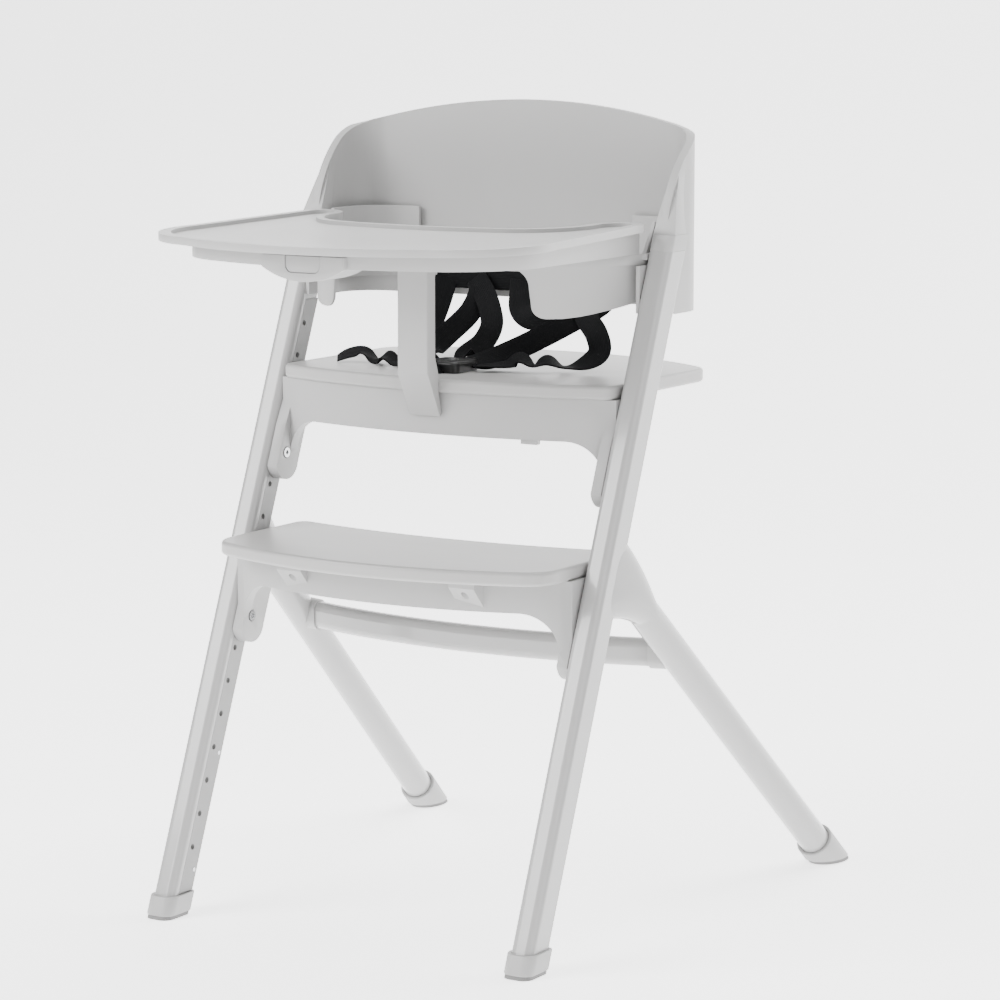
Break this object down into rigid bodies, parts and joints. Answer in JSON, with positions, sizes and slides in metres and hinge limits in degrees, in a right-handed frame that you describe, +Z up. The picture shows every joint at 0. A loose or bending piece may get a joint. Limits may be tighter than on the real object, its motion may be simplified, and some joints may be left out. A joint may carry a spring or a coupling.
{
  "type": "baby high chair",
  "caption": "Light grey high chair: leaning metal legs, height-adjustable seat and footrest boards, wrap-around back, guard with crotch post, pull-off tray and black harness.",
  "frame": {"origin": "on the floor, under the middle of the chair's overall box", "axes": "+Z up, the child looks along -Y, +X to the viewer's right when facing the chair's front"},
  "size_m": [0.5838, 0.7182, 0.866],
  "materials": {
    "frame_metal": "gloss",
    "rail_metal": "satin",
    "screw_steel": "polished",
    "sole_rubber": "matte",
    "lacquered_wood": "satin lacquer",
    "webbing": "woven",
    "buckle_plastic": "satin",
    "buckle_button": "satin",
    "tray_plastic": "satin",
    "moulded_plastic": "satin"
  },
  "bodies": {
    "frame": {"front_leg_right": "frame_metal", "front_leg_left": "frame_metal", "rail_strip_right": "rail_metal", "rail_strip_left": "rail_metal", "rail_rivets": "screw_steel", "leg_cap_right": "moulded_plastic", "leg_cap_left": "moulded_plastic", "rear_leg_right": "frame_metal", "rear_leg_left": "frame_metal", "front_foot_right": "moulded_plastic", "front_foot_left": "moulded_plastic", "front_sole_right": "sole_rubber", "front_sole_left": "sole_rubber", "rear_foot_right": "moulded_plastic", "rear_foot_left": "moulded_plastic", "rear_sole_right": "sole_rubber", "rear_sole_left": "sole_rubber", "leg_joint_right": "frame_metal", "leg_joint_left": "frame_metal", "crossbar": "frame_metal", "crossbar_collars": "moulded_plastic", "back_shell": "moulded_plastic", "lumbar_band": "webbing"},
    "seat": {"seat_board": "lacquered_wood", "seat_bracket": "moulded_plastic", "seat_lock_screws": "screw_steel", "shoulder_belt_left": "webbing", "shoulder_belt_right": "webbing", "hip_belt_left": "webbing", "hip_belt_right": "webbing", "buckle": "buckle_plastic", "crotch_belt": "webbing", "belt_tail_left": "webbing", "belt_tail_right": "webbing"},
    "footrest": {"footrest_board": "lacquered_wood", "footrest_bracket": "moulded_plastic", "footrest_lock_screws": "screw_steel"},
    "guard": {"front_guard": "moulded_plastic", "crotch_post": "moulded_plastic"},
    "tray": {"tray": "tray_plastic", "tray_base": "tray_plastic"},
    "tray_button": {"tray_button": "tray_plastic"},
    "buckle_button": {"buckle_button": "buckle_button"}
  },
  "joints": [
    {"name": "seat_height", "type": "slide", "parent": "frame", "child": "seat", "axis": [0, 0.373, 0.9278], "range_m": [0, 0.037], "deforming": ["shoulder_belt_left", "shoulder_belt_right", "hip_belt_left", "hip_belt_right"]},
    {"name": "footrest_height", "type": "slide", "parent": "frame", "child": "footrest", "axis": [0, 0.373, 0.9278], "range_m": [-0.2588, 0.037]},
    {"name": "guard_slide", "type": "slide", "parent": "frame", "child": "guard", "axis": [0, -1, 0], "range_m": [0, 0.3]},
    {"name": "tray_slide", "type": "slide", "parent": "guard", "child": "tray", "axis": [0, -1, 0], "range_m": [0, 0.25]},
    {"name": "tray_release", "type": "slide", "parent": "tray", "child": "tray_button", "axis": [0, 1, 0], "range_m": [0, 0.004], "stiffness_N_per_m": 900, "springref_m": -0.002},
    {"name": "buckle_release", "type": "slide", "parent": "seat", "child": "buckle_button", "axis": [0, 0, -1], "range_m": [0, 0.002], "stiffness_N_per_m": 900, "springref_m": -0.002}
  ]
}
